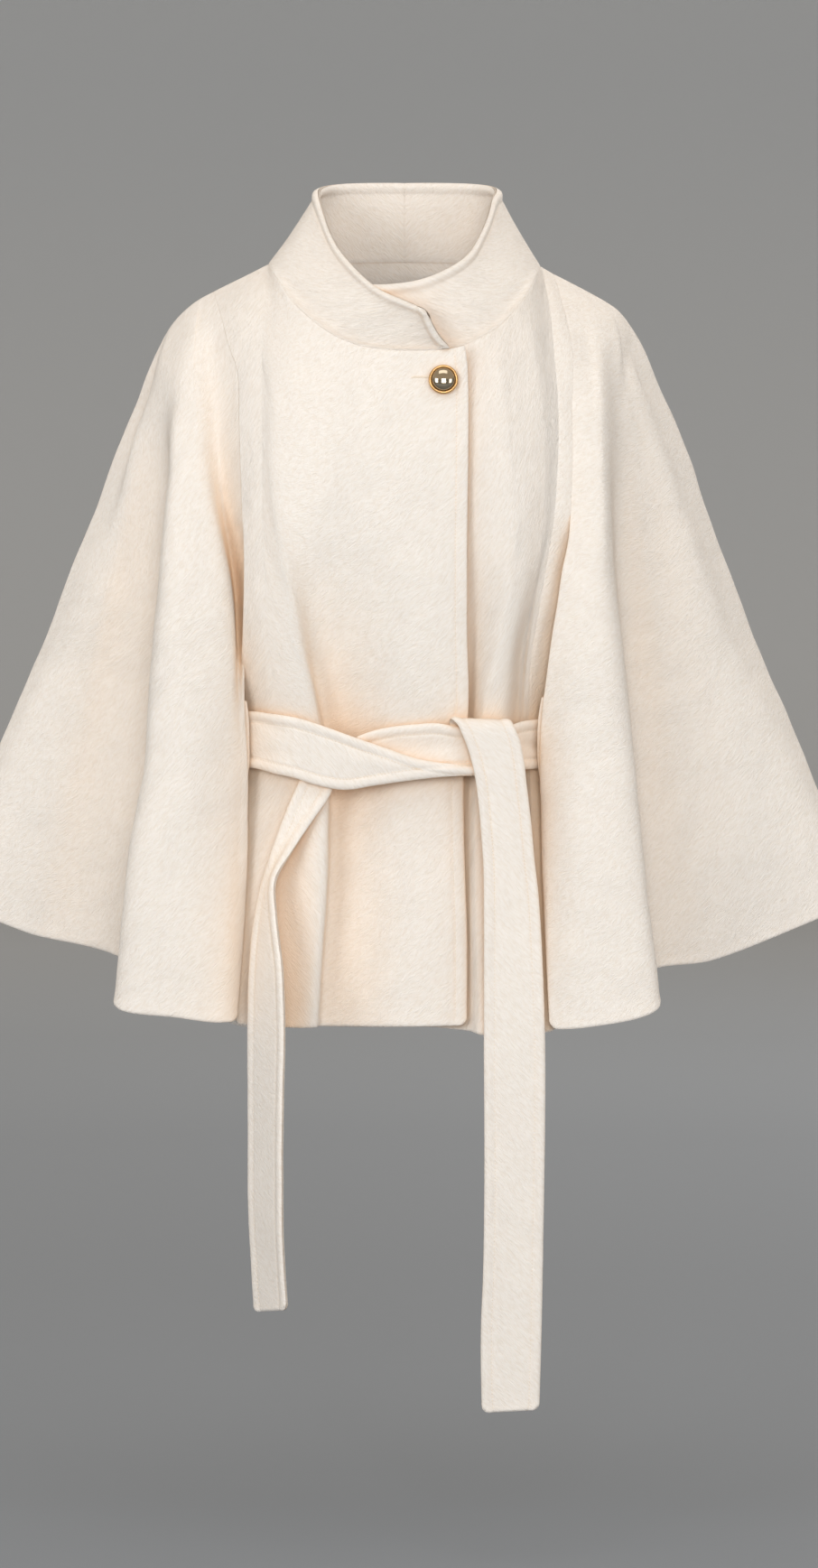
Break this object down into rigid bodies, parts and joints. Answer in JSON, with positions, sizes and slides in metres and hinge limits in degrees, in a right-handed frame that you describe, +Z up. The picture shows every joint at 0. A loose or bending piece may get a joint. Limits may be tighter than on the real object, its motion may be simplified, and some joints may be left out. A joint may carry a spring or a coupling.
{
  "type": "cape coat",
  "caption": "Cream brushed wool cape coat with a wrapped funnel collar, arm slits, a half-knotted cloth belt with hanging ends and a gold button.",
  "frame": {"origin": "neck base, midway between the two shoulder neck points where the wearer's shoulders carry the coat", "axes": "+Z up, -Y out of the front, +X to the wearer's left"},
  "size_m": [0.892, 0.3575, 1.1662],
  "materials": {
    "wool_cloth": "brushed, matt, short nap",
    "wool_belt": "brushed, matt, topstitched edges",
    "gold_rim": "polished",
    "gold_dome": "mirror polished"
  },
  "bodies": {
    "root": {"front_right": "wool_cloth", "front_left": "wool_cloth", "cape_right": "wool_cloth", "cape_left": "wool_cloth", "back_right": "wool_cloth", "back_left": "wool_cloth", "collar_right": "wool_cloth", "collar_left": "wool_cloth", "belt_band_right": "wool_belt", "belt_band_left": "wool_belt", "belt_tail_left": "wool_belt", "belt_tail_right": "wool_belt", "belt_back": "wool_belt", "belt_slot_right": "wool_belt", "belt_slot_left": "wool_belt", "button_rim": "gold_rim", "button_dome": "gold_dome"}
  },
  "joints": []
}
